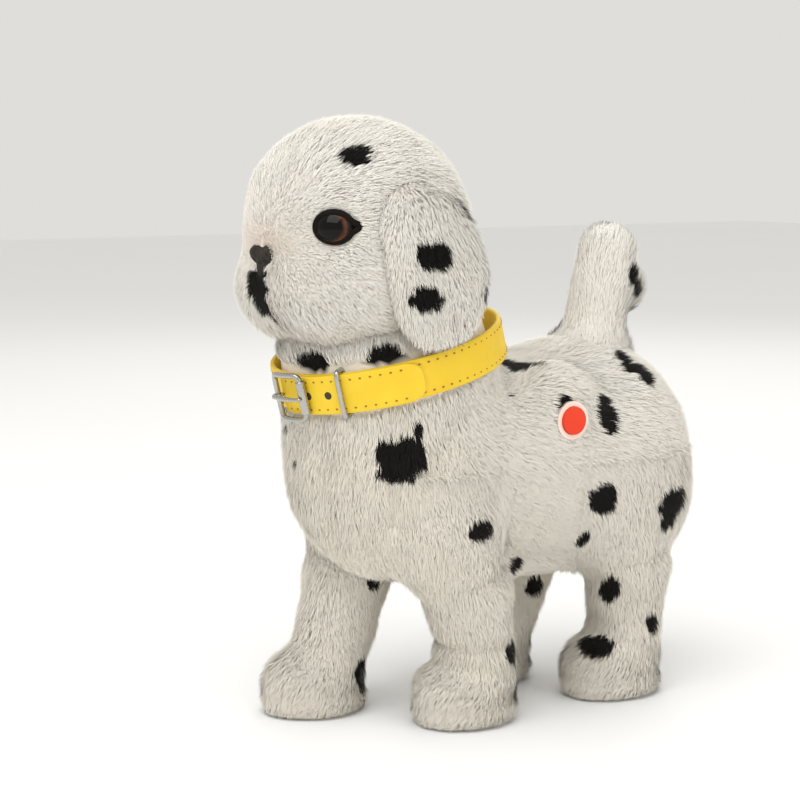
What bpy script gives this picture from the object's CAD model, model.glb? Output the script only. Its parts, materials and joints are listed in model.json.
"""Looks of a walking plush puppy: short cream pile with black spots, glossy eyes, a flocked nose,
a yellow leather collar with a wire buckle, and a red push button on the flank.

Lengths are in millimetres while shapes are worked out, and become metres as each mesh is made.
The puppy faces -Y, its left side is +X and +Z is up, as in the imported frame."""
import json
import math

import bpy
import numpy as np
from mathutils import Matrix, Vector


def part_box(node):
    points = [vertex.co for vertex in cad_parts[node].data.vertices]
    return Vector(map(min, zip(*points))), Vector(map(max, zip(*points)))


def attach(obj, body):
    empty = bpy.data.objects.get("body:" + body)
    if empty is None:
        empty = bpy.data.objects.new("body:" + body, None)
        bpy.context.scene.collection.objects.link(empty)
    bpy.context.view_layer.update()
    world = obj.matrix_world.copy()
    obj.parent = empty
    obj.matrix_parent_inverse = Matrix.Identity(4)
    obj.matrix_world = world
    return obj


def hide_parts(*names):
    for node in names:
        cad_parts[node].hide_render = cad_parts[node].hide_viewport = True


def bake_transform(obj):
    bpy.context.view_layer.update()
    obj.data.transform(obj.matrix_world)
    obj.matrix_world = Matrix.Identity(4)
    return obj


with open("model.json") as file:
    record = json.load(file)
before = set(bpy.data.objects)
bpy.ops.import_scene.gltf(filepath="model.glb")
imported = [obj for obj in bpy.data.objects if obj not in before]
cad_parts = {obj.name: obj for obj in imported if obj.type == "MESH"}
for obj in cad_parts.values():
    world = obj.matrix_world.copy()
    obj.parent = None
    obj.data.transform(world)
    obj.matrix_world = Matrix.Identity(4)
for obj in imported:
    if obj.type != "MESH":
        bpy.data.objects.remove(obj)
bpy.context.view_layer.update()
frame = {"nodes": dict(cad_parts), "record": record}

MM = 0.001
SEED = 7


def unit(v):
    """Each row of v divided by its own length."""
    v = np.asarray(v, float)
    return v / np.maximum(np.linalg.norm(v, axis=-1, keepdims=True), 1e-9)


def node_box(node):
    """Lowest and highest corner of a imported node, in millimetres."""
    low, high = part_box(node)
    return np.array(low) / MM, np.array(high) / MM


# ------------------------------------------------------------------ places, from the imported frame
torso_low, torso_high = node_box("body_plush")
TORSO_R = torso_high[0]
TORSO_Z = torso_low[2] + TORSO_R
CHEST_Y = torso_low[1] + TORSO_R
RUMP_Y = torso_high[1] - TORSO_R
collar_low, collar_high = node_box("collar_strap")
STRAP_R = collar_high[0]
STRAP_T = 2.0
STRAP_H = 14.5
NECK_TILT = math.radians(14)
NECK = (collar_low + collar_high) / 2
head_low, head_high = node_box("head_plush")
SKULL = np.array([0.0, NECK[1] - 12, head_high[2] - 42])
HIPS = {"front": node_box("front_hip_pin")[0][1] + 3.4, "rear": node_box("rear_hip_pin")[0][1] + 3.4}
HIP_Z = node_box("front_hip_pin")[0][2] + 3.4
hatch_low, hatch_high = node_box("battery_box")
HATCH = (hatch_low + hatch_high) / 2 + [0, 0, 1]    # the battery box, kept just inside the belly
HATCH_HALF = (hatch_high - hatch_low) / 2 + [2, 2, 0]
button_low, button_high = node_box("button_cap")
BUTTON = (button_low + button_high) / 2
BUTTON[0] = button_high[0]
BUTTON_R = (button_high[2] - button_low[2]) / 2
tail_low, tail_high = node_box("tail_plush")
PILE = 4.2                      # the pile stands about this far out from its backing
LENGTH = 5.8                    # length of its longest strands

EYE = np.array([26.6, -40.2, 50.2])     # from the neck's middle
EYE_OUT = math.radians(42)
NOSE = np.array([0.0, -51.5, 39.5])


def head_place(p):
    """Puts points given from the neck's middle in place."""
    return np.asarray(p, float) + NECK


def head_local(p):
    """The opposite of head_place."""
    return np.asarray(p, float) - NECK


def neck_place(p):
    """Places points given around the leaning neck axis, with the collar's middle as origin."""
    c, s = math.cos(NECK_TILT), math.sin(NECK_TILT)
    p = np.asarray(p, float)
    return np.stack([p[..., 0], c * p[..., 1] - s * p[..., 2], s * p[..., 1] + c * p[..., 2]], -1) + NECK


def neck_local(p):
    """The opposite of neck_place."""
    c, s = math.cos(NECK_TILT), math.sin(NECK_TILT)
    q = np.asarray(p, float) - NECK
    return np.stack([q[..., 0], c * q[..., 1] + s * q[..., 2], -s * q[..., 1] + c * q[..., 2]], -1)


# ------------------------------------------------------------------ solid fields and noise
def ellipsoid(p, centre, radii):
    """Near-distance to an ellipsoid: k0 (k0 - 1) / k1, where k0 and k1 are the lengths of the point
    divided once and twice by the radii. It is negative inside."""
    q = (p - np.asarray(centre, float)) / np.asarray(radii, float)
    k0 = np.linalg.norm(q, axis=-1)
    k1 = np.linalg.norm(q / np.asarray(radii, float), axis=-1)
    return k0 * (k0 - 1) / np.maximum(k1, 1e-6)


def capsule(p, a, b, ra, rb):
    """Distance to a round bar from a to b, whose radius goes evenly from ra to rb."""
    a, b = np.asarray(a, float), np.asarray(b, float)
    h = np.clip((p - a) @ (b - a) / ((b - a) @ (b - a)), 0, 1)
    return np.linalg.norm(p - a - h[..., None] * (b - a), axis=-1) - (ra + (rb - ra) * h)


def merge(first, second, k):
    """Smooth union: the smaller distance, rounded over a width of k where the two are alike."""
    h = np.clip(0.5 + 0.5 * (second - first) / k, 0, 1)
    return second + (first - second) * h - k * h * (1 - h)


def lattice(i):
    """A fixed pseudo-random value from 0 to 1 for each row of three whole numbers."""
    n = i[..., 0] * 127.1 + i[..., 1] * 311.7 + i[..., 2] * 74.7
    return np.mod(np.sin(n) * 43758.5453, 1.0)


def noise(p, size, shift=0.0):
    """Value noise from -1 to 1: lattice values blended by smoothstep between cells of this size."""
    q = np.asarray(p, float) / size + shift
    i = np.floor(q)
    f = q - i
    f = f * f * (3 - 2 * f)
    total = 0.0
    for dx in (0, 1):
        for dy in (0, 1):
            for dz in (0, 1):
                w = (f[..., 0] if dx else 1 - f[..., 0]) * (f[..., 1] if dy else 1 - f[..., 1])
                w = w * (f[..., 2] if dz else 1 - f[..., 2])
                total = total + w * lattice(i + np.array([dx, dy, dz]))
    return 2 * total - 1


def crease(p, a, b, depth, width):
    """How far a fold along the line from a to b pulls the surface in: a bell curve of the distance."""
    d = capsule(p, a, b, 0, 0)
    return depth * np.exp(-((d / width) ** 2))


# Folds of the cover, as line ends, depth and width
FOLDS = [
    ([34, -62, 128], [30, -60, 84], 3.0, 4.0),
    ([12, -80, 122], [10, -76, 78], 2.6, 4.0),
    ([-14, -80, 120], [-12, -76, 80], 2.2, 4.5),
    ([42, -34, 128], [40, -52, 100], 3.2, 4.5),
    ([42, -14, 126], [41, -22, 92], 2.2, 5.0),
    ([-42, -34, 128], [-38, -56, 96], 3.0, 4.5),
    ([-42, -10, 124], [-41, -22, 92], 2.2, 5.0),
    ([34, -16, 62], [40, -12, 92], 3.0, 5.0),
    ([-34, -16, 62], [-40, -12, 92], 3.0, 5.0),
    ([34, 24, 60], [40, 20, 88], 2.6, 5.0),
    ([-34, 24, 60], [-40, 20, 88], 2.6, 5.0),
]


def torso_field(p):
    """Body bar from chest to rump, a deep chest, and the neck that rises into the collar."""
    r = TORSO_R - PILE + 1.2
    d = capsule(p, [0, CHEST_Y + 2, TORSO_Z + 3], [0, RUMP_Y - 1.5, TORSO_Z - 5], r - 4.5, r - 0.5)
    d = merge(d, capsule(p, [0, CHEST_Y, TORSO_Z - 2], [0, NECK[1] - 2, NECK[2]], r - 4, r - 3), 10)
    d = merge(d, ellipsoid(p, [0, RUMP_Y - 7, TORSO_Z + 3], [r - 5, r - 1, r - 2]), 12)
    hatch = np.abs(p - HATCH) - HATCH_HALF + 5
    box = np.linalg.norm(np.maximum(hatch, 0), axis=-1) + np.minimum(hatch.max(-1), 0) - 5
    d = merge(d, box, 5)
    d = merge(d, ellipsoid(p, [BUTTON[0] - 15.5, BUTTON[1], BUTTON[2]], [13, 19, 19]), 8)
    for a, b, depth, width in FOLDS:
        d = d + crease(p, a, b, depth, width)
    return d + 0.5 * noise(p, 17.0)


# how far back (+) or forward (-) each foot is set, by end and side
PAW_SHIFT = {("front", 1): 3.6, ("front", -1): -3.0, ("rear", 1): -3.4, ("rear", -1): -1.6}


def leg_frame(side, end):
    """Hip, ankle and paw places of one leg, from its sole pad's box and the set of its foot."""
    name = f"sole_pads_{'left' if side > 0 else 'right'}_{end if end == 'rear' else 'front'}"
    low, high = node_box(name)
    paw = (low + high) / 2
    hip = np.array([side * 24.0, HIPS[end], HIP_Z])
    paw[1] += PAW_SHIFT[end, side]
    ankle = np.array([paw[0], paw[1] + 4, 20.0])
    return hip, ankle, paw


def leg_field(p, side, end):
    """Thigh or shoulder, a shank that narrows to the ankle, and a boot-like paw, flat underneath."""
    hip, ankle, paw = leg_frame(side, end)
    thigh = hip + np.array([side * 1.0, (ankle[1] - hip[1]) * 0.1, -9])
    if end == "rear":
        d = ellipsoid(p, thigh + np.array([0, 10.5, 2]), [15.5, 27, 27])
    else:
        d = ellipsoid(p, thigh, [15, 21, 26])
    knee = hip * 0.5 + ankle * 0.5 + np.array([0, 2.0 + 2.0 * np.sign(ankle[1] - hip[1]), -2.0])
    if end == "rear":
        knee = knee + [0, 3.5, 0]
    d = merge(d, capsule(p, thigh, knee, 15.5, 14.5), 8)
    d = merge(d, capsule(p, knee, ankle, 14.5, 12.8), 4)
    toe = np.array([paw[0], paw[1] - 2.5, 12.0])
    d = merge(d, ellipsoid(p, toe, [15.5, 18.5, 13.0]), 5)
    d = merge(d, ellipsoid(p, toe + [0, 0.6, -7.0], [16.2, 19.6, 9.5]), 3)
    d = d + crease(p, ankle + [side * 15, -14, 11], ankle + [side * 15, 12, 13], 2.2, 3.5)
    d = d + crease(p, ankle + [-12, -14, 12], ankle + [12, -15, 12], 2.2, 3.5)
    d = d + crease(p, knee + [side * 14, -14, 6], knee + [side * 15, 10, 9], 0.9, 4.0)
    return np.maximum(d + 0.5 * noise(p, 13.0, 3.0), 1.2 - p[..., 2])


def skull_field(p):
    """Round skull, wide cheeks and a short blunt muzzle, with hollows for the eyes."""
    q = head_local(p)
    skull = SKULL - NECK
    d = ellipsoid(q, skull + [0, -3.4, 0.6], [42.0, 40.6, 40.4])
    d = merge(d, ellipsoid(q, skull + [0, -7.5, -18], [42.5, 35, 21]), 10)
    for side in (-1, 1):
        d = merge(d, ellipsoid(q, skull + [side * 11.5, -21.5, -20], [17.5, 21.5, 16.5]), 6)
    d = merge(d, ellipsoid(q, skull + [0, -24, -6], [10, 12, 10]), 8)
    for side in (-1, 1):
        eye = EYE * [side, 1, 1]
        d = d + 5.6 * np.exp(-((np.linalg.norm(q - eye, axis=-1) / 10) ** 2))
    d = d + 2.0 * np.exp(-((np.linalg.norm((q - NOSE) / [9, 12, 7], axis=-1)) ** 2))
    return d + 0.4 * noise(p, 15.0, 9.0)


def ear_field(p, side):
    """One hanging ear: a flat rounded flap, whose root is let into the skull."""
    q = head_local(p)
    d = ellipsoid(q, [side * 43.5, -7.5, 30.0], [5.0, 19.0, 21.0])
    d = merge(d, ellipsoid(q, [side * 42.0, -11.0, 42.0], [5.0, 17.0, 18.0]), 8)
    return merge(d, ellipsoid(q, [side * 37.5, -14.0, 54.0], [6.0, 14, 11]), 10)


TAIL_ROOT = np.array([0, (tail_low[1] + tail_high[1]) / 2 - 6, tail_low[2] - 8])
TAIL_TIP = np.array([0, tail_high[1] - 13, tail_high[2] - 13])


def tail_field(p):
    """An upright stub that widens into the rump."""
    d = capsule(p, TAIL_ROOT, TAIL_TIP, 10.8, 10.0)
    d = merge(d, ellipsoid(p, TAIL_TIP + [0, 5.5, -13], [8, 9.5, 9]), 6)
    return merge(d, ellipsoid(p, TAIL_ROOT + [0, -2, 1], [13.5, 15.5, 6]), 10)


LEGS = [(side, end) for end in ("front", "rear") for side in (1, -1)]


# ------------------------------------------------------------------ skins: grids cast onto a field
def cast(field, centre, directions, reach):
    """Distance along each direction at which the field turns positive, by halving the span."""
    near = np.zeros(directions.shape[:-1])
    far = np.full(directions.shape[:-1], float(reach))
    for _ in range(22):
        mid = (near + far) / 2
        inside = field(centre + directions * mid[..., None]) < 0
        near = np.where(inside, mid, near)
        far = np.where(inside, far, mid)
    return near


def mesh_object(name, points, faces, smooth=True):
    """Makes a mesh object from points in millimetres and a list of face index rows."""
    mesh = bpy.data.meshes.new(name)
    mesh.from_pydata((np.asarray(points) * MM).tolist(), [], faces)
    mesh.polygons.foreach_set("use_smooth", [smooth] * len(mesh.polygons))
    mesh.update()
    obj = bpy.data.objects.new(name, mesh)
    bpy.context.scene.collection.objects.link(obj)
    return obj


def grid_faces(rows, cols, first=0):
    """Quads of a grid of rows rings, each a closed ring of cols points."""
    i = np.arange(rows - 1)[:, None] * cols
    j = np.arange(cols)[None, :]
    k = (j + 1) % cols
    return (np.stack([i + j, i + k, i + cols + k, i + cols + j], -1).reshape(-1, 4) + first).tolist()


def capped_rings(name, rings, first_pole, last_pole):
    """Closed surface from an array of rings, with one point closing each end."""
    rows, cols, _ = rings.shape
    points = np.concatenate([rings.reshape(-1, 3), [first_pole], [last_pole]])
    faces = grid_faces(rows, cols)
    a, b = rows * cols, rows * cols + 1
    last = (rows - 1) * cols
    for j in range(cols):
        k = (j + 1) % cols
        faces.append([a, k, j])
        faces.append([b, last + j, last + k])
    obj = mesh_object(name, points, faces)
    tri = points[np.array([[f[0], f[1], f[2]] for f in faces])]
    middle = points.mean(0)
    volume = np.einsum("ij,ij->", tri[:, 0] - middle, np.cross(tri[:, 1] - middle, tri[:, 2] - middle))
    if volume < 0:
        obj.data.flip_normals()
    return obj


def star_skin(name, field, centre, reach, rows=90, cols=120, axis=1):
    """Skin of a form that is seen whole from its centre: polar angle by turn angle about an axis,
    each ray stopped where the field turns positive."""
    polar = np.linspace(0, math.pi, rows + 2)[1:-1][:, None]
    turn = np.linspace(0, 2 * math.pi, cols, endpoint=False)[None, :]
    along = np.cos(polar) + 0 * turn
    c, s = np.sin(polar) * np.cos(turn), np.sin(polar) * np.sin(turn)
    parts = {1: (c, along, s), 2: (c, s, along)}[axis]
    directions = np.stack(parts, -1)
    centre = np.asarray(centre, float)
    rings = centre + directions * cast(field, centre, directions, reach)[..., None]
    pole = np.zeros((2, 3))
    pole[0, axis], pole[1, axis] = 1, -1
    ends = centre + pole * cast(field, centre, pole, reach)[:, None]
    return capped_rings(name, rings, ends[0], ends[1])


def column_skin(name, field, path, reach, rows=70, cols=72):
    """Skin of an upright limb: level rings around a path of points from top to bottom."""
    path = np.asarray(path, float)
    t = np.linspace(0, 1, rows)
    heights = np.linspace(path[0, 2], path[-1, 2], rows)
    centres = np.stack([np.interp(-heights, -path[:, 2], path[:, k]) for k in range(3)], -1)
    turn = np.linspace(0, 2 * math.pi, cols, endpoint=False)
    directions = np.stack([np.cos(turn), np.sin(turn), 0 * turn], -1)[None] + 0 * t[:, None, None]
    start = centres[:, None, :] + 0 * directions
    rings = start + directions * cast(field, start, directions, reach)[..., None]
    return capped_rings(name, rings, centres[0], centres[-1])


# ------------------------------------------------------------------ spots
# Black spots: the body part, the middle of the spot, and its half sizes
SPOTS = []


def spot(x, y, z, rx, ry, rz):
    SPOTS.append((np.array([x, y, z], float), np.array([rx, ry, rz], float)))


def head_spot(x, y, z, rx, ry, rz):
    spot(*head_place([x, y, z]), rx, ry, rz)


def pelt_black(p, ragged=0.22):
    """1 where a point of the pelt is black: inside an ellipsoid spot whose edge noise makes ragged."""
    mask = np.zeros(p.shape[:-1])
    edge = 1 + ragged * noise(p, 3.2, 5.0) + 0.5 * ragged * noise(p, 1.3, 8.0)
    for middle, half in SPOTS:
        mask = np.maximum(mask, np.linalg.norm((p - middle) / half, axis=-1) < edge)
    return mask


for place in (
    (25, -72, 213.5, 7, 7, 4.6),
    (50, -56, 179.5, 8, 7.2, 5.6),
    (49.5, -59.5, 164, 8, 6.6, 4.8),
    (45, -38, 199, 9, 5, 8),
    (49, -30, 164.5, 6, 3.4, 3.5),
    (12.5, -84, 140, 8, 7, 4),
    (35, -67, 143.5, 7, 8, 4.6),
    (37, -61, 105, 10.5, 9.5, 8.8),
    (39.7, -54.7, 116, 4, 1.6, 4.2),
    (45, -30.4, 77.6, 8, 6.2, 4.2),
    (18, 4, 136, 9, 4, 5),
    (22, 9, 133.5, 9, 4.2, 3.8),
    (25, 14, 129.5, 9, 3.6, 4.4),
    (37, 11.4, 120.1, 9, 5, 5.4),
    (41.5, 33, 116.7, 8, 5.4, 7.8),
    (26, 54, 134, 9, 4.8, 5),
    (29, 61, 128.5, 9, 5, 5),
    (10.5, 69, 167, 7, 3.6, 4.4),
    (10.5, 72, 161, 7, 3.2, 4.4),
    (41.5, 29.4, 83, 8, 6, 6.4),
    (42, 63.5, 78, 10, 9, 6.4),
    (42, 62, 71.5, 9, 5, 5.4),
    (33.3, 26.5, 66.5, 5, 2.0, 5),
    (33, 42, 42.6, 7, 3.2, 7),
    (38, 59.4, 29.5, 6, 3.6, 4.3),
    (30, 35.5, 21.8, 9, 7, 4.4),
    (-6.4, 35, 39, 5, 5, 4.2),
    (22, 2.8, 57, 5, 2.6, 4),
    (36.5, -9.0, 27, 7, 4.4, 5.4),
    (34, -5.0, 11.5, 7, 3.6, 4.6),
    (-5, -44.6, 51, 6, 3.4, 4.6),
    (-8.5, -47.5, 14.0, 7, 5.5, 6.8),
    (-15, -78.7, 112, 2.2, 2, 1.6),
    (-2.7, -82.7, 101, 2, 2, 1.4),
    (-21.5, -75.2, 86.6, 2, 2, 1.4),
    (33, -6.8, 126, 2.4, 1.6, 1.8),
    (-16.2, -79, 15, 2, 2, 1.4),
    (-30, -10, 136, 11, 8, 7),
    (-44, 30, 112, 8, 10, 8),
    (-42, -30, 92, 8, 9, 8),
    (-30, -62, 106, 8, 7, 8),
    (-40, 58, 84, 9, 9, 8),
    (-47, -50, 176, 8, 7, 6),
    (-47, -56, 158, 8, 5, 5),
    (-20, -44, 224, 8, 9, 5),
    (8, -30, 226, 8, 7, 5),
    (-6, 90, 118, 9, 8, 8),
    (-16, 84, 88, 8, 8, 7),
    (-10, 36, 58, 6, 7, 7),
    (-40, -62, 34, 7, 6, 6),
    (-36, 24, 40, 7, 6, 8),
    (-38, 66, 30, 6, 6, 6),
):
    spot(*place)
head_spot(-0.4, -54, 28.4, 8.2, 9, 6.6)
head_spot(1.4, -54, 22.0, 5.6, 9, 5.6)
head_spot(6.0, -54, 16.0, 1.6, 7, 3.4)


# ------------------------------------------------------------------ looks
def shader(name):
    """A new material with its node tree, Principled shader and object coordinates."""
    mat = bpy.data.materials.new(name)
    mat.use_nodes = True
    tree = mat.node_tree
    return mat, tree, tree.nodes["Principled BSDF"], tree.nodes.new("ShaderNodeTexCoord").outputs["Object"]


def noise_node(tree, where, scale, detail=3.0, rough=0.55):
    node = tree.nodes.new("ShaderNodeTexNoise")
    node.inputs["Scale"].default_value = scale
    node.inputs["Detail"].default_value = detail
    node.inputs["Roughness"].default_value = rough
    tree.links.new(where, node.inputs["Vector"])
    return node.outputs["Fac"]


def spread(tree, value, low, high):
    """Maps the middle of a noise value to the range from low to high."""
    node = tree.nodes.new("ShaderNodeMapRange")
    node.inputs["From Min"].default_value = 0.3
    node.inputs["From Max"].default_value = 0.7
    node.inputs["To Min"].default_value = low
    node.inputs["To Max"].default_value = high
    tree.links.new(value, node.inputs["Value"])
    return node.outputs["Result"]


def blend_colour(tree, factor, first, second):
    """Mix of two colours, each a socket or a plain colour."""
    node = tree.nodes.new("ShaderNodeMix")
    node.data_type = "RGBA"
    for key, value in (("A", first), ("B", second)):
        socket = [s for s in node.inputs if s.name == key and s.type == "RGBA"][0]
        if isinstance(value, (tuple, list)):
            socket.default_value = (*value[:3], 1)
        else:
            tree.links.new(value, socket)
    put = [s for s in node.inputs if s.name == "Factor" and s.type == "VALUE"][0]
    if isinstance(factor, float):
        put.default_value = factor
    else:
        tree.links.new(factor, put)
    return [s for s in node.outputs if s.type == "RGBA"][0]


def bump(tree, height, strength, distance, target):
    node = tree.nodes.new("ShaderNodeBump")
    node.inputs["Strength"].default_value = strength
    node.inputs["Distance"].default_value = distance
    tree.links.new(height, node.inputs["Height"])
    tree.links.new(node.outputs["Normal"], target.inputs["Normal"])
    return node


def plain_look(name, colour, shade, rough, metal=0.0, grain=900.0, cloud=60.0, relief=0.00004, coat=0.0,
               shine=0.5):
    """Made material: two shades mixed by a cloudy noise, roughness spread by another, fine relief."""
    mat, tree, out, where = shader(name)
    mixed = blend_colour(tree, spread(tree, noise_node(tree, where, cloud), 0, 1), colour, shade)
    tree.links.new(mixed, out.inputs["Base Color"])
    tree.links.new(spread(tree, noise_node(tree, where, grain * 0.4), *rough), out.inputs["Roughness"])
    out.inputs["Metallic"].default_value = metal
    out.inputs["Specular IOR Level"].default_value = shine
    out.inputs["Coat Weight"].default_value = coat
    out.inputs["Coat Roughness"].default_value = 0.05
    bump(tree, noise_node(tree, where, grain), 0.6, relief, out)
    return mat


WHITE = (0.955, 0.93, 0.87)
CREAM = (0.92, 0.865, 0.76)
BLACK = (0.006, 0.0055, 0.005)
WARM_CREAM = (0.87, 0.79, 0.64)
PEACH = (0.80, 0.50, 0.38)


def pile_look(name, strands):
    """Plush: cream at the root to near white at the tip, with tint by tuft, black in the spots, and
    peach by the mouth. The pelt colour attribute holds spot, tint, height up the strand and peach."""
    mat, tree, out, where = shader(name)
    pelt = tree.nodes.new("ShaderNodeAttribute")
    pelt.attribute_name = "pelt"
    parts = tree.nodes.new("ShaderNodeSeparateColor")
    tree.links.new(pelt.outputs["Color"], parts.inputs["Color"])
    body = blend_colour(tree, parts.outputs["Blue"], CREAM, WHITE)
    body = blend_colour(tree, spread(tree, noise_node(tree, where, 70.0), 0.0, 0.3), body, CREAM)
    tint = tree.nodes.new("ShaderNodeMath")
    tint.operation = "MULTIPLY"
    tint.inputs[1].default_value = 0.75
    tree.links.new(parts.outputs["Green"], tint.inputs[0])
    body = blend_colour(tree, tint.outputs["Value"], body, WARM_CREAM)
    body = blend_colour(tree, pelt.outputs["Alpha"], body, PEACH)
    dark = blend_colour(tree, parts.outputs["Green"], BLACK, (0.016, 0.014, 0.012))
    tree.links.new(blend_colour(tree, parts.outputs["Red"], body, dark), out.inputs["Base Color"])
    out.inputs["Roughness"].default_value = 0.85
    if not strands:
        tree.links.new(spread(tree, noise_node(tree, where, 300.0), 0.8, 0.95), out.inputs["Roughness"])
    out.inputs["Sheen Weight"].default_value = 0.04
    out.inputs["Specular IOR Level"].default_value = 0.12
    relief = bump(tree, noise_node(tree, where, 700.0), 0.3, 0.00015, out)
    if strands:
        # the underside of a strand is shaded by the same outward normal as its top
        facing = tree.nodes.new("ShaderNodeNewGeometry")
        sign = tree.nodes.new("ShaderNodeMath")
        sign.operation = "MULTIPLY_ADD"
        sign.inputs[1].default_value = -2.0
        sign.inputs[2].default_value = 1.0
        tree.links.new(facing.outputs["Backfacing"], sign.inputs[0])
        outward = tree.nodes.new("ShaderNodeVectorMath")
        outward.operation = "SCALE"
        tree.links.new(facing.outputs["Normal"], outward.inputs[0])
        tree.links.new(sign.outputs["Value"], outward.inputs["Scale"])
        tree.links.new(outward.outputs["Vector"], relief.inputs["Normal"])
    return mat


SKIN_LOOK = pile_look("pile_backing", False)
FUR_LOOK = pile_look("pile_strands", True)
LEATHER = plain_look(
    "yellow_leather", (0.86, 0.60, 0.035), (0.80, 0.53, 0.025), (0.42, 0.6), grain=1500,
    relief=0.00012, shine=0.3
)
THREAD = plain_look("stitch_thread", (0.34, 0.20, 0.03), (0.26, 0.14, 0.02), (0.7, 0.9), grain=3000)
HOLE = plain_look("hole_dark", (0.05, 0.035, 0.02), (0.02, 0.015, 0.01), (0.7, 0.9))
STEEL = plain_look("buckle_steel", (0.50, 0.49, 0.46), (0.38, 0.37, 0.35), (0.2, 0.36), metal=1.0, grain=2200)
FLOCK = plain_look(
    "nose_flock_look", (0.020, 0.017, 0.013), (0.045, 0.04, 0.033), (0.75, 0.95), grain=2600, cloud=500,
    relief=0.0003, shine=0.2
)
LID = plain_look(
    "lid_felt", (0.006, 0.005, 0.004), (0.010, 0.008, 0.007), (0.7, 0.9), grain=2400, relief=0.0001, shine=0.1
)

SLOT_LOOKS = {
    "plush": SKIN_LOOK,
    "strap_leather": LEATHER,
    "bright_steel": STEEL,
    "pin_steel": plain_look("pin_steel_look", (0.55, 0.56, 0.58), (0.42, 0.43, 0.45), (0.25, 0.4), metal=1.0),
    "eye_gloss": plain_look("eye_plain", (0.02, 0.012, 0.008), (0.012, 0.008, 0.006), (0.05, 0.1), coat=1.0),
    "nose_flock": FLOCK,
    "case_plastic": plain_look("case_look", (0.72, 0.71, 0.68), (0.66, 0.65, 0.62), (0.4, 0.55)),
    "gear_nylon": plain_look("nylon_look", (0.88, 0.86, 0.80), (0.80, 0.78, 0.72), (0.35, 0.5)),
    "pinion_brass": plain_look("brass_look", (0.75, 0.60, 0.30), (0.60, 0.46, 0.22), (0.25, 0.4), metal=1.0),
    "sole_rubber": plain_look("sole_look", (0.42, 0.38, 0.33), (0.34, 0.30, 0.26), (0.7, 0.9), relief=0.0001),
    "button_red": plain_look(
        "button_look", (0.82, 0.055, 0.018), (0.76, 0.045, 0.014), (0.42, 0.55), relief=0.00003, shine=0.25
    ),
    "button_rim": plain_look("rim_look", (0.90, 0.76, 0.66), (0.88, 0.70, 0.60), (0.4, 0.5)),
    "switch_black": plain_look("switch_look", (0.03, 0.03, 0.03), (0.02, 0.02, 0.02), (0.4, 0.55)),
    "board_green": plain_look("board_look", (0.03, 0.22, 0.08), (0.02, 0.15, 0.06), (0.35, 0.5)),
    "cell_wrap": plain_look("cell_look", (0.10, 0.12, 0.30), (0.07, 0.08, 0.22), (0.25, 0.4)),
    "lead_red": plain_look("lead_look", (0.60, 0.03, 0.02), (0.45, 0.02, 0.015), (0.4, 0.55)),
}
for part in frame["record"]["subparts"]:
    obj = frame["nodes"][part["node"]]
    obj.data.materials.clear()
    obj.data.materials.append(SLOT_LOOKS[part["material_slot"]])


def wear(obj, look):
    obj.data.materials.clear()
    obj.data.materials.append(look)
    return obj


def eye_look():
    """Glass eye: black pupil, dark brown iris with radial streaks, black outer ring, clear coat. The
    eye attribute holds the place across the front, in eye radii."""
    mat, tree, out, where = shader("glass_eye")
    place = tree.nodes.new("ShaderNodeAttribute")
    place.attribute_name = "eye"
    length = tree.nodes.new("ShaderNodeVectorMath")
    length.operation = "LENGTH"
    tree.links.new(place.outputs["Vector"], length.inputs[0])
    ramp = tree.nodes.new("ShaderNodeValToRGB")
    stops = ((0.0, (0.002, 0.002, 0.002)), (0.66, (0.003, 0.002, 0.002)), (0.74, (0.05, 0.015, 0.005)))
    stops += ((0.84, (0.13, 0.040, 0.014)), (0.93, (0.012, 0.006, 0.004)), (1.0, (0.003, 0.002, 0.002)))
    while len(ramp.color_ramp.elements) < len(stops):
        ramp.color_ramp.elements.new(0.5)
    for element, (at, colour) in zip(ramp.color_ramp.elements, stops):
        element.position = at
        element.color = (*colour, 1)
    tree.links.new(length.outputs["Value"], ramp.inputs["Fac"])
    streak = spread(tree, noise_node(tree, where, 900.0), 0.0, 0.5)
    colour = blend_colour(tree, streak, ramp.outputs["Color"], (0.004, 0.002, 0.001))
    tree.links.new(colour, out.inputs["Base Color"])
    tree.links.new(spread(tree, noise_node(tree, where, 400.0), 0.04, 0.09), out.inputs["Roughness"])
    out.inputs["Specular IOR Level"].default_value = 0.10
    out.inputs["Coat Weight"].default_value = 0.14
    out.inputs["Coat Roughness"].default_value = 0.02
    bump(tree, noise_node(tree, where, 300.0), 0.15, 0.00002, out)
    return mat


# ------------------------------------------------------------------ the pile
def triangles(obj):
    """Corner indices of every triangle, vertex places in millimetres, and vertex normals."""
    mesh = obj.data
    mesh.calc_loop_triangles()
    tri = np.zeros(len(mesh.loop_triangles) * 3, np.int32)
    mesh.loop_triangles.foreach_get("vertices", tri)
    co = np.zeros(len(mesh.vertices) * 3)
    mesh.vertices.foreach_get("co", co)
    normals = np.zeros(len(mesh.vertices) * 3)
    mesh.vertices.foreach_get("normal", normals)
    return tri.reshape(-1, 3), co.reshape(-1, 3) / MM, normals.reshape(-1, 3)


def scatter(obj, density, rng):
    """Random points spread evenly over a mesh, with its smooth normals."""
    tri, co, normals = triangles(obj)
    a, b, c = co[tri[:, 0]], co[tri[:, 1]], co[tri[:, 2]]
    area = np.linalg.norm(np.cross(b - a, c - a), axis=1) / 2
    pick = rng.choice(len(tri), int(area.sum() * density), p=area / area.sum())
    u, v = rng.random(len(pick)), rng.random(len(pick))
    flip = u + v > 1
    u, v = np.where(flip, 1 - u, u), np.where(flip, 1 - v, v)
    w = np.stack([1 - u - v, u, v], 1)
    points = np.einsum("ij,ijk->ik", w, co[tri[pick]])
    return points, unit(np.einsum("ij,ijk->ik", w, normals[tri[pick]]))


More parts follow.
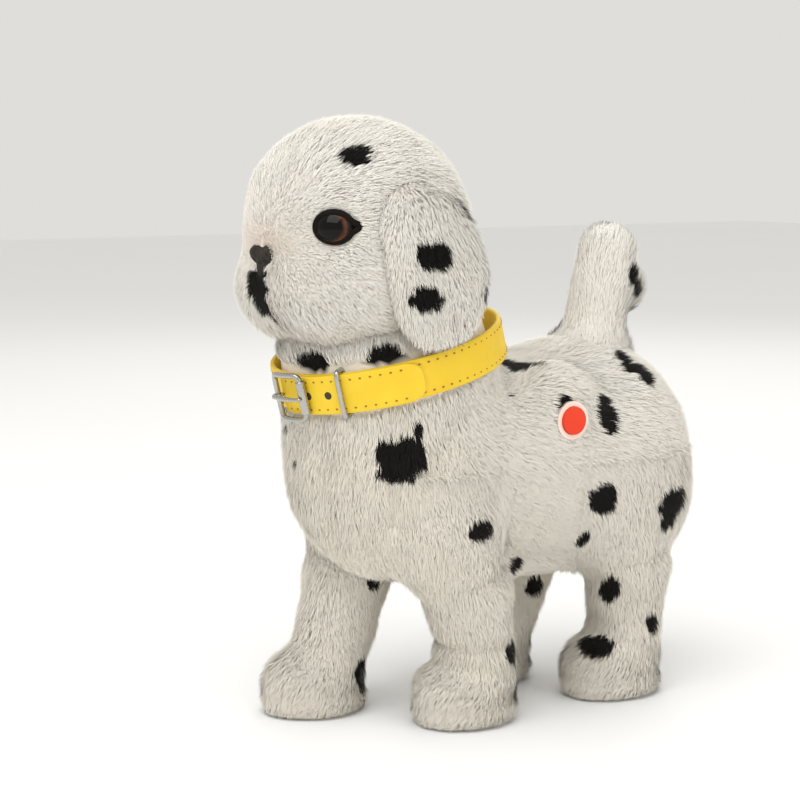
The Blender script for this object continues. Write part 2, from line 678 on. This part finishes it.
def peach(p):
    """How peach a point of the pelt is: strong in a small patch at each side of the nose and mouth."""
    q = head_local(p)
    near = np.exp(-((np.linalg.norm((q - NOSE - [0, 3, 5.5]) / [12, 9, 6], axis=-1)) ** 2.0))
    mouth = np.exp(-((np.linalg.norm((q - NOSE - [7, 3, -15]) / [5, 7, 7], axis=-1)) ** 2.0))
    return np.clip(0.42 * near + 0.3 * mouth, 0, 1)


def warm(p):
    """How cream the pelt is, from 0.05 at the head to 0.6 at the chest and feet, clouded by noise."""
    low = 1 - np.clip((p[..., 2] - 40) / 110, 0, 1)
    front = np.exp(-((np.linalg.norm((p - [0, -60, 100]) / [60, 40, 36], axis=-1)) ** 2))
    return np.clip(0.05 + 0.4 * low + 0.35 * front + 0.1 * noise(p, 22.0, 6.0), 0, 0.7)


def paint_skin(obj):
    """Writes the pelt attribute of a backing: spot, tint, low height, peach."""
    _, co, _ = triangles(obj)
    values = np.stack([pelt_black(co), 0.15 + warm(co), np.full(len(co), 0.4), peach(co)], 1)
    attribute = obj.data.attributes.new("pelt", "FLOAT_COLOR", "POINT")
    attribute.data.foreach_set("color", values.astype(np.float32).ravel())


def pile(name, skin, density, comb, length, keep, number):
    """Strands of pile on a backing: each is a blade of one quad and one triangle that leans over as it
    rises, first at 53 and then at 72 degrees from the normal, along the combed direction. Tufts come
    from pulling tips towards the middle of their cell of a 3 mm grid."""
    rng = np.random.default_rng(SEED * 100 + number)
    p, n = scatter(skin, density, rng)
    stay = keep(p)
    p, n = p[stay], n[stay]
    count = len(p)
    flow = np.asarray(comb(p), float) + 0 * p
    sway = np.stack([noise(p, 7.0, 1.0 + 10 * k) for k in range(3)], -1)
    flow = unit(flow) + 0.26 * sway + 0.14 * rng.normal(size=p.shape)
    t = unit(flow - np.einsum("ij,ij->i", flow, n)[:, None] * n)
    cell = 3.0
    home = (np.floor(p / cell) + 0.5 + 0.3 * noise(np.floor(p / cell), 1.3)[:, None]) * cell
    pull = home - p
    pull = pull - np.einsum("ij,ij->i", pull, n)[:, None] * n
    tall = (length(p) * (0.82 + 0.32 * rng.random(count)) * (1 + 0.12 * noise(p, 6.0, 4.0)))[:, None]
    short = np.clip(1 - tall / LENGTH, 0, 1)
    stiff = (0.10 + 0.14 * rng.random((count, 1))) * (1 - short)
    lean_low = 0.92 + 0.10 * rng.normal(size=(count, 1)) + 0.15 * short
    lean_high = 1.26 + 0.09 * rng.normal(size=(count, 1)) + 0.08 * short
    root = p - 1.0 * n
    mid = p + 0.5 * tall * (np.cos(lean_low) * n + np.sin(lean_low) * t) + 0.4 * stiff * pull
    tip = mid + 0.5 * tall * (np.cos(lean_high) * n + np.sin(lean_high) * t) + stiff * pull
    free = ~(covers(mid) | covers(tip))
    p, n, t, root, mid, tip, short = (x[free] for x in (p, n, t, root, mid, tip, short))
    count = len(p)
    for place in (mid, tip):
        place[:, 2] = np.maximum(place[:, 2], 0.25)
    across = unit(np.cross(tip - root, n) + 0.35 * rng.normal(size=p.shape))
    wide = (0.13 + 0.05 * rng.random((count, 1))) * (1 - 0.25 * short) * across
    points = np.stack([root - wide, root + wide, mid - 0.85 * wide, mid + 0.85 * wide, tip], 1)
    mesh = bpy.data.meshes.new(name)
    mesh.vertices.add(count * 5)
    mesh.vertices.foreach_set("co", (points.reshape(-1) * MM).astype(np.float32))
    corners = np.array([0, 1, 3, 2, 2, 3, 4])[None, :] + 5 * np.arange(count)[:, None]
    mesh.loops.add(count * 7)
    mesh.loops.foreach_set("vertex_index", corners.ravel().astype(np.int32))
    mesh.polygons.add(count * 2)
    starts = (np.array([0, 4])[None, :] + 7 * np.arange(count)[:, None]).ravel()
    mesh.polygons.foreach_set("loop_start", starts.astype(np.int32))
    mesh.polygons.foreach_set("use_smooth", np.ones(count * 2, bool))
    mesh.update(calc_edges=True)
    side = int(math.ceil(math.sqrt(count)))
    home_uv = np.stack([np.arange(count) % side, np.arange(count) // side], 1)[:, None, :]
    inner = np.array([[0.1, 0.1], [0.5, 0.1], [0.5, 0.5], [0.1, 0.5], [0.1, 0.5], [0.5, 0.5], [0.3, 0.9]])
    layer = mesh.uv_layers.new(name="OFBake")
    layer.data.foreach_set("uv", ((home_uv + inner[None]) / side).astype(np.float32).ravel())
    black, tint = pelt_black(0.6 * mid + 0.4 * tip), 0.3 * rng.random(count) + warm(p)
    values = np.zeros((count, 5, 4), np.float32)
    values[:, :, 0] = black[:, None]
    values[:, :, 1] = tint[:, None]
    values[:, :, 2] = np.array([0.4, 0.4, 0.8, 0.8, 1.0])[None]
    values[:, :, 3] = peach(p)[:, None]
    mesh.attributes.new("pelt", "FLOAT_COLOR", "POINT").data.foreach_set("color", values.ravel())
    soft = unit(np.repeat((0.9 * n + 0.12 * t)[:, None, :], 5, 1).reshape(-1, 3))
    mesh.normals_split_custom_set_from_vertices(soft.tolist())
    obj = bpy.data.objects.new(name, mesh)
    bpy.context.scene.collection.objects.link(obj)
    wear(obj, FUR_LOOK)
    return obj


def step(x, low, high):
    """Smooth step from 0 at low to 1 at high."""
    t = np.clip((x - low) / (high - low), 0, 1)
    return t * t * (3 - 2 * t)


def bare(p):
    """True where no pile grows: under the collar, at the button, and under the glass eyes."""
    q = neck_local(p)
    gone = (np.hypot(q[..., 0], q[..., 1]) < STRAP_R + 1.0) & (np.abs(q[..., 2]) < STRAP_H / 2 + 0.5)
    gone |= (np.hypot(p[..., 1] - BUTTON[1], p[..., 2] - BUTTON[2]) < BUTTON_R + 1.2) & (p[..., 0] > 20)
    gone |= (np.abs(p - HATCH) < HATCH_HALF - [3, 3, -4]).all(-1) & (p[..., 2] < HATCH[2])
    h = head_local(p)
    for side in (-1, 1):
        gone |= np.linalg.norm((h - EYE * [side, 1, 1]) / [8.2, 9.0, 6.4], axis=-1) < 1
    gone |= np.linalg.norm((h - NOSE - [0, 0, 0.6]) / [7.0, 9.0, 4.0], axis=-1) < 1
    gone |= np.linalg.norm((h - NOSE - [0, 0, -4]) / [3.2, 9.0, 4.5], axis=-1) < 1
    return gone


def covers(p):
    """True where a strand would run through the strap, over the button or over an eye."""
    q = neck_local(p)
    caught = (np.hypot(q[..., 0], q[..., 1]) < STRAP_R + 3.2) & (np.abs(q[..., 2]) < STRAP_H / 2 - 0.3)
    caught |= (np.hypot(p[..., 1] - BUTTON[1], p[..., 2] - BUTTON[2]) < BUTTON_R + 0.6) & (p[..., 0] > 20)
    h = head_local(p)
    for side in (-1, 1):
        caught |= np.linalg.norm((h - EYE * [side, 1, 1]) / [8.0, 9.0, 5.6], axis=-1) < 1
    return caught


def pile_length(p):
    """Pile length: shorter on the face, by the button and at the soles."""
    h = head_local(p)
    face = 1 - 0.62 * np.exp(-((np.linalg.norm((h - [0, -40, 40]) / [34, 30, 26], axis=-1)) ** 4))
    button = np.hypot(p[..., 1] - BUTTON[1], p[..., 2] - BUTTON[2]) + np.where(p[..., 0] > 20, 0, 99)
    flaps = np.minimum(ear_field(p, 1), ear_field(p, -1))
    face = face * (0.4 + 0.6 * step(np.maximum(skull_field(p), flaps), -1, 6))
    return LENGTH * face * (0.3 + 0.7 * step(button, 5, 13)) * (0.6 + 0.4 * step(p[..., 2], 1, 12))


def torso_comb(p):
    chest = 1 - step(p[..., 1], CHEST_Y - 12, CHEST_Y + 26)
    back = np.stack([0 * chest, 1 - chest + 0.05, -0.55 - 0.9 * chest], -1)
    above = (neck_local(p)[..., 2] > 0)[..., None]
    return np.where(above, neck_place([0, 0, 1.0]) - NECK, back)


def head_comb(p):
    h = p - head_place(NOSE + [0, 2, 3])
    return unit(h) + np.array([0, 0.1, -0.25])


def down_comb(p):
    return np.array([0.0, 0.12, -1.0]) + 0 * p


def up_comb(p):
    return np.array([0.0, 0.1, 1.0]) + 0 * p


def leg_comb(p):
    low = 1 - step(p[..., 2], 14, 30)
    return np.stack([0 * low, 0.15 - 0.75 * low, -1 + 0.3 * low], -1)


def all_legs(p, skip=None):
    d = np.full(p.shape[:-1], 1e3)
    for leg in LEGS:
        if leg != skip:
            d = np.minimum(d, leg_field(p, *leg))
    return d


# ------------------------------------------------------------------ torso, tail, legs, head, ears
torso = star_skin("torso_plush_skin", torso_field, [0, (CHEST_Y + RUMP_Y) / 2 - 8, TORSO_Z], 130, 130, 150)
wear(torso, SKIN_LOOK)
paint_skin(torso)
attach(torso, "torso")
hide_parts("body_plush")


def torso_keep(low, high):
    def keep(p):
        inside = (all_legs(p) < -3.5) | (skull_field(p) < -4) | (tail_field(p) < -3)
        return ~inside & ~bare(p) & (p[..., 1] >= low) & (p[..., 1] < high)
    return keep


DENSITY = 4.9
TORSO_PARTS = (
    ("chest_pile", -200, -30), ("shoulder_pile", -30, 2), ("flank_pile", 2, 32),
    ("haunch_pile", 32, 58), ("rump_pile", 58, 200)
)
for number, (name, low, high) in enumerate(TORSO_PARTS):
    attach(pile(name, torso, DENSITY, torso_comb, pile_length, torso_keep(low, high), number), "torso")

for number, (side, end) in enumerate(LEGS):
    hip, ankle, paw = leg_frame(side, end)
    key = f"{end}_{'left' if side > 0 else 'right'}"

    def limb(p, side=side, end=end):
        return merge(leg_field(p, side, end), torso_field(p) + 0.6, 9)

    path = [hip + [side * 1, 0, 12], hip + [side * 1, 0, -14]]
    path += [[ankle[0], ankle[1], 26], [paw[0], paw[1], 1.2]]
    skin = column_skin(f"{key}_plush_skin", limb, path, 40 if end == "rear" else 28, 90, 96)
    wear(skin, SKIN_LOOK)
    paint_skin(skin)

    def leg_keep(p, side=side):
        return (torso_field(p) > -3.5) & ~bare(p) & (p[..., 2] > 1.6) & (p[..., 0] * side > -2)

    coat = pile(f"{key}_pile", skin, DENSITY, leg_comb, pile_length, leg_keep, 10 + number)
    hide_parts(f"{key}_plush")
    for piece in (skin, coat):
        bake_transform(piece)

tail_path = [TAIL_TIP + [0, 0, 9.6], TAIL_TIP, TAIL_ROOT, TAIL_ROOT - [0, 0, 4]]
tail_skin = column_skin("tail_plush_skin", tail_field, tail_path, 24, 60, 64)
wear(tail_skin, SKIN_LOOK)
paint_skin(tail_skin)
tail_coat = pile(
    "tail_pile", tail_skin, DENSITY * 1.1, up_comb, pile_length, lambda p: torso_field(p) > -3.0, 20
)
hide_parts("tail_plush")
for piece in (tail_skin, tail_coat):
    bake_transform(piece)

skull_middle = head_place(SKULL - NECK + [0, -4, -4])
head_skin = star_skin("head_plush_skin", skull_field, skull_middle, 70, 120, 130, axis=2)
wear(head_skin, SKIN_LOOK)
paint_skin(head_skin)
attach(head_skin, "head")
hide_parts("head_plush")


def head_keep(front):
    def keep(p):
        clear = (ear_field(p, 1) > -1.0) & (ear_field(p, -1) > -1.0) & (torso_field(p) > -5)
        return clear & ~bare(p) & ((head_local(p)[..., 1] < -10) == front)
    return keep


for number, (name, front) in enumerate((("face_pile", True), ("nape_pile", False))):
    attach(pile(name, head_skin, DENSITY, head_comb, pile_length, head_keep(front), 40 + number), "head")

for number, side in enumerate((1, -1)):
    word = "left" if side > 0 else "right"

    def flap(p, side=side):
        return ear_field(p, side)

    ear = star_skin(f"ear_{word}_skin", flap, head_place([side * 43.0, -9.5, 38.0]), 40, 60, 70, axis=2)
    wear(ear, SKIN_LOOK)
    paint_skin(ear)
    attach(ear, "head")
    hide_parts(f"ear_{word}")
    coat = pile(
        f"ear_{word}_pile", ear, DENSITY, down_comb, pile_length, lambda p: skull_field(p) > -1.0, 31 + number
    )
    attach(coat, "head")

# ------------------------------------------------------------------ eyes and nose
EYE_LOOK = eye_look()


def eye_points(local, side):
    """Places points given across, along and above an eye: across is outwards, along is out of it."""
    out = np.array([math.sin(EYE_OUT) * side, -math.cos(EYE_OUT), 0.05])
    out = out / np.linalg.norm(out)
    over = np.cross([0, 0, 1.0], out) * 1.0
    over = unit(over) * side
    up = np.cross(out, over) * side
    up = up * np.sign(up[2])
    local = np.asarray(local, float)
    place = local[..., :1] * over + local[..., 1:2] * out + local[..., 2:3] * up
    return head_place(EYE * [side, 1, 1] + place)


def revolve(rows, cols, radii):
    """Grid of an ellipsoid's rings about its out axis: front pole first."""
    polar = np.linspace(0, math.pi, rows + 2)[1:-1][:, None]
    turn = np.linspace(0, 2 * math.pi, cols, endpoint=False)[None, :]
    return np.stack(
        [
            radii[0] * np.sin(polar) * np.cos(turn),
            radii[1] * np.cos(polar) + 0 * turn,
            radii[2] * np.sin(polar) * np.sin(turn),
        ],
        -1,
    )


def tube(path, radius, around=12):
    """Rings of a closed round tube along a closed path of points, square to it."""
    path = np.asarray(path, float)
    along = unit(np.roll(path, -1, 0) - np.roll(path, 1, 0))
    normal = unit(path - path.mean(0) - np.einsum("ij,ij->i", path - path.mean(0), along)[:, None] * along)
    other = np.cross(along, normal)
    turn = np.linspace(0, 2 * math.pi, around, endpoint=False)[None, :, None]
    radius = np.broadcast_to(np.asarray(radius, float), (len(path),))[:, None, None]
    return path[:, None] + radius * (np.cos(turn) * normal[:, None] + np.sin(turn) * other[:, None])


def loop_object(name, rings):
    """Mesh of rings that close on themselves both ways."""
    rows, cols, _ = rings.shape
    i = np.arange(rows)[:, None]
    j = np.arange(cols)[None, :]
    a, b = i * cols + j, i * cols + (j + 1) % cols
    c, d = ((i + 1) % rows) * cols + (j + 1) % cols, ((i + 1) % rows) * cols + j
    faces = np.stack([a, b, c, d], -1).reshape(-1, 4)
    points = rings.reshape(-1, 3)
    middle = rings.mean(1)[:, None]
    face = points[faces]
    normal = np.cross(face[:, 1] - face[:, 0], face[:, 3] - face[:, 0])
    outward = face.mean(1) - np.broadcast_to(middle, rings.shape).reshape(-1, 3)[faces[:, 0]]
    if np.einsum("ij,ij->", normal, outward) < 0:
        faces = faces[:, ::-1]
    return mesh_object(name, points, faces.tolist())


for side in (1, -1):
    word = "left" if side > 0 else "right"
    radii = (7.6, 6.0, 6.4)
    rings = revolve(40, 64, radii)
    front_pole, back_pole = eye_points([0, 6.0, 0], side), eye_points([0, -6.0, 0], side)
    ball = capped_rings(f"eye_{word}_glass", eye_points(rings, side), front_pole, back_pole)
    local = np.concatenate([rings.reshape(-1, 3) / [radii[0], 1, radii[2]], [[0, 1, 0], [0, -1, 0]]])
    local[:, 1] = 0
    local[:, 0] += 0.16
    stored = ball.data.attributes.new("eye", "FLOAT_VECTOR", "POINT")
    stored.data.foreach_set("vector", local.astype(np.float32).ravel())
    wear(ball, EYE_LOOK)
    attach(ball, "head")
    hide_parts(f"eye_{word}")
    turn = np.linspace(0, 2 * math.pi, 96, endpoint=False)
    corner = np.exp(-((np.angle(np.exp(1j * turn)) / 0.3) ** 2))
    wide = 6.7 * np.cos(turn) + 2.8 * corner
    tall = 5.0 * np.sin(turn) * (1 - 0.35 * corner) + 0.6 * corner
    deep = 2.9 - 0.022 * wide**2 - 0.5 * corner
    lid_wire = tube(np.stack([wide, deep, tall], -1), 1.25 + 0.3 * np.sin(turn))
    lid = loop_object(f"eye_{word}_lid", eye_points(lid_wire, side))
    wear(lid, LID)
    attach(lid, "head")


def nose_field(p):
    """Two round nostril lobes over a narrow stem, with a dent for each nostril."""
    q = head_local(p) - NOSE
    d = ellipsoid(q, [-3.8, 0, 0.6], [4.8, 6.0, 4.3])
    d = merge(d, ellipsoid(q, [3.8, 0, 0.6], [4.8, 6.0, 4.3]), 2.4)
    d = merge(d, ellipsoid(q, [0, 0.5, -4.2], [3.6, 5.6, 5.2]), 3.0)
    for side in (-1, 1):
        d = d + 1.8 * np.exp(-((np.linalg.norm(q - [side * 4.4, -5.4, -1.4], axis=-1) / 2.0) ** 2))
    return d


nose_piece = star_skin("nose_flocked", nose_field, head_place(NOSE + [0, 0, -1]), 14, 60, 80)
wear(nose_piece, FLOCK)
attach(nose_piece, "head")
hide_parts("nose")


# ------------------------------------------------------------------ collar
def band_ring(angle, radius, height, thick, around=28, round_by=0.8):
    """Rounded-rectangle sections of a band around the neck axis, at these angles, radii and heights."""
    turn = np.linspace(0, 2 * math.pi, around, endpoint=False)[None, :]
    power = 0.35
    out = np.sign(np.cos(turn)) * np.abs(np.cos(turn)) ** power * thick / 2
    high = np.sign(np.sin(turn)) * np.abs(np.sin(turn)) ** power * height[:, None] / 2
    r = radius[:, None] + out
    points = np.stack([r * np.cos(angle)[:, None], r * np.sin(angle)[:, None], high + 0 * r], -1)
    return neck_place(points)


angle = np.linspace(0, 2 * math.pi, 220, endpoint=False)
radius = STRAP_R - 1.0 + 0.12 * np.sin(5 * angle)
strap = loop_object("collar_band", band_ring(angle, radius, np.full(220, STRAP_H), STRAP_T))
wear(strap, LEATHER)
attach(strap, "torso")
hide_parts("collar_strap")

END_FROM, END_TO = math.radians(268), math.radians(342)
angle = np.linspace(END_FROM, END_TO, 110)
tip = np.clip((END_TO - angle) * STRAP_R / 7.0, 0.0, 1.0)
height = STRAP_H * (0.35 + 0.65 * np.sqrt(1 - (1 - tip) ** 2))
rings = band_ring(angle, np.full(110, STRAP_R + 1.15), height, STRAP_T)
flap_piece = capped_rings("collar_free_end", rings, rings[0].mean(0), rings[-1].mean(0))
wear(flap_piece, LEATHER)
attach(flap_piece, "torso")
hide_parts("strap_end")


def dots(name, places, sizes, look):
    """Many small ellipsoids around the neck axis, each 6 by 8 points, at (angle, radius, height)."""
    polar = np.linspace(0, math.pi, 6)[:, None]
    turn = np.linspace(0, 2 * math.pi, 8, endpoint=False)[None, :]
    ball = np.stack(
        [np.sin(polar) * np.cos(turn), np.sin(polar) * np.sin(turn), np.cos(polar) + 0 * turn], -1
    )
    ball = ball.reshape(-1, 3) * sizes
    points, faces = [], []
    cell = np.array(grid_faces(6, 8))
    for a, r, h in places:
        c, s = math.cos(a), math.sin(a)
        x = (r + ball[:, 0]) * c - ball[:, 1] * s
        y = (r + ball[:, 0]) * s + ball[:, 1] * c
        faces.append(cell + len(points) * len(ball))
        points.append(neck_place(np.stack([x, y, h + ball[:, 2]], -1)))
    obj = mesh_object(name, np.concatenate(points), np.concatenate(faces)[:, ::-1].tolist())
    wear(obj, look)
    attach(obj, "torso")
    return obj


stitches = []
for k in range(78):
    a = 2 * math.pi * k / 78
    on_end = END_FROM + 0.02 < a < END_TO - 0.12
    for h in (-1, 1):
        stitches.append((a, STRAP_R + (2.15 if on_end else 0.0) + 0.02, h * (STRAP_H / 2 - 2.0)))
dots("collar_stitches", stitches, [0.16, 0.5, 0.36], THREAD)
holes = [(math.radians(d), STRAP_R + 2.15, 0.0) for d in (286, 297)]
dots("collar_holes", holes, [0.1, 1.5, 1.5], HOLE)

BUCKLE, KEEPER = math.radians(276), math.radians(304)
WIRE_AT = STRAP_R + 3.4


def on_band(angle, out, along, up):
    """Places points given outwards, along and up the strap at one angle of the neck."""
    c, s = math.cos(angle), math.sin(angle)
    out, along, up = np.broadcast_arrays(out, along, up)
    return neck_place(np.stack([out * c - along * s, out * s + along * c, up + 0.0 * out], -1))


def bent_wire(name, angle, half_along, half_up, rise, radius, node, square=0.28):
    """Closed wire loop of rounded-rectangle form whose middle is bent outwards by rise."""
    turn = np.linspace(0, 2 * math.pi, 160, endpoint=False)
    u = half_along * np.sign(np.cos(turn)) * np.abs(np.cos(turn)) ** square
    v = half_up * np.sign(np.sin(turn)) * np.abs(np.sin(turn)) ** square
    path = on_band(angle, WIRE_AT + rise * (1 - (u / half_along) ** 2), u, v)
    even = np.concatenate([[0], np.cumsum(np.linalg.norm(np.diff(path, axis=0, append=path[:1]), axis=1))])
    at = np.linspace(0, even[-1], 160, endpoint=False)
    closed = np.concatenate([path, path[:1]])
    path = np.stack([np.interp(at, even, closed[:, k]) for k in range(3)], -1)
    obj = loop_object(name, tube(path, radius, 14))
    wear(obj, STEEL)
    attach(obj, "torso")
    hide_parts(node)
    return obj


bent_wire("buckle_wire_frame", BUCKLE, 7.5, 8.4, 1.3, 1.05, "buckle_frame")


def rod_piece(name, angle, path, radius, body, look):
    """Closed rod of round section along a path given outwards, along and up the strap."""
    path = on_band(angle, *np.asarray(path, float).T)
    along = unit(np.gradient(path, axis=0))
    side = unit(np.cross(along, [0.3, 0.2, 1.0]))
    other = np.cross(along, side)
    turn = np.linspace(0, 2 * math.pi, 16, endpoint=False)[None, :, None]
    radius = np.broadcast_to(np.asarray(radius, float), (len(path),))[:, None, None]
    rings = path[:, None] + radius * (np.cos(turn) * side[:, None] + np.sin(turn) * other[:, None])
    obj = capped_rings(name, rings, path[0], path[-1])
    wear(obj, look)
    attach(obj, body)
    return obj


k = np.linspace(-1, 1, 40)
ends = 1 - np.clip((np.abs(k) - 0.93) / 0.07, 0, 1) ** 2 * 0.5
roller = rod_piece(
    "buckle_roller", BUCKLE, np.stack([WIRE_AT + 0 * k, 7.5 + 0 * k, 6.4 * k], 1), 1.75 * ends, "torso",
    STEEL
)
k = np.linspace(0, 1, 60)
lift = WIRE_AT + 2.0 + 0.9 * np.sin(math.pi * k) + 0.5 * k
prong_radius = 0.95 * (1 - 0.25 * k) * np.sqrt(np.clip(1 - ((k - 0.94) / 0.06).clip(0, 1) ** 2 * 0.8, 0, 1))
prong_path = np.stack([lift, -7.5 + 16.5 * k, 0 * k], 1)
prong = rod_piece("buckle_prong_rod", BUCKLE, prong_path, prong_radius, "prong", STEEL)
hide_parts("buckle_prong")
turn = np.linspace(0, 2 * math.pi, 60, endpoint=False)
eye_path = on_band(BUCKLE, WIRE_AT + 1.75 * np.cos(turn), -7.5 + 1.75 * np.sin(turn), 0 * turn)
eye_ring = loop_object("buckle_prong_eye", tube(eye_path, 0.62, 12))
wear(eye_ring, STEEL)
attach(eye_ring, "prong")

turn = np.linspace(0, 2 * math.pi, 160, endpoint=False)
out = STRAP_R + 0.4 + 3.1 * np.sign(np.cos(turn)) * np.abs(np.cos(turn)) ** 0.4
up = 8.5 * np.sign(np.sin(turn)) * np.abs(np.sin(turn)) ** 0.3
keeper = loop_object("strap_keeper_wire", tube(on_band(KEEPER, out, 0 * turn, up), 0.95, 14))
wear(keeper, STEEL)
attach(keeper, "torso")
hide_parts("strap_keeper")

# ------------------------------------------------------------------ floor, light, camera
floor_mesh = bpy.data.meshes.new("floor")
floor_mesh.from_pydata([(-4, -4, 0), (4, -4, 0), (4, 4, 0), (-4, 4, 0)], [], [(0, 1, 2, 3)])
floor = bpy.data.objects.new("floor", floor_mesh)
bpy.context.scene.collection.objects.link(floor)
floor_look = plain_look(
    "floor_look", (0.93, 0.93, 0.925), (0.92, 0.92, 0.915), (0.8, 0.9), cloud=2.0, grain=40.0
)
wear(floor, floor_look)

world = bpy.context.scene.world or bpy.data.worlds.new("studio")
bpy.context.scene.world = world
world.use_nodes = True
world.node_tree.nodes["Background"].inputs["Color"].default_value = (1.0, 0.985, 0.955, 1)
world.node_tree.nodes["Background"].inputs["Strength"].default_value = 0.74
bpy.context.scene.view_settings.view_transform = "Standard"


def lamp(name, place, aim, size, power):
    """Square area lamp at place, facing aim, metres and watts."""
    data = bpy.data.lights.new(name, "AREA")
    data.size = size
    data.energy = power
    obj = bpy.data.objects.new(name, data)
    bpy.context.scene.collection.objects.link(obj)
    away = np.array(place, float) - np.array(aim, float)
    flat = math.hypot(away[0], away[1])
    obj.location = place
    obj.rotation_euler = (math.atan2(flat, away[2]), 0, math.atan2(away[0], -away[1]))


lamp("key", (0.35, -0.7, 1.3), (0, 0, 0.1), 1.2, 13)
lamp("fill", (1.2, 0.2, 0.6), (0, 0, 0.1), 1.0, 2.5)
lamp("back", (-0.9, 0.9, 1.0), (0, 0, 0.1), 0.8, 3)

AZIMUTH, ELEVATION, DISTANCE = math.radians(56), math.radians(7.2), 0.758
aim = np.array([-0.0136, -0.0277, 0.120])
level = math.cos(ELEVATION)
away = np.array([math.sin(AZIMUTH) * level, -math.cos(AZIMUTH) * level, math.sin(ELEVATION)])
camera_data = bpy.data.cameras.new("camera")
camera_data.lens = 87.66
camera_data.sensor_width = 36
camera = bpy.data.objects.new("camera", camera_data)
bpy.context.scene.collection.objects.link(camera)
camera.location = aim + away * DISTANCE
camera.rotation_euler = (math.pi / 2 - ELEVATION, 0, AZIMUTH)
bpy.context.scene.camera = camera
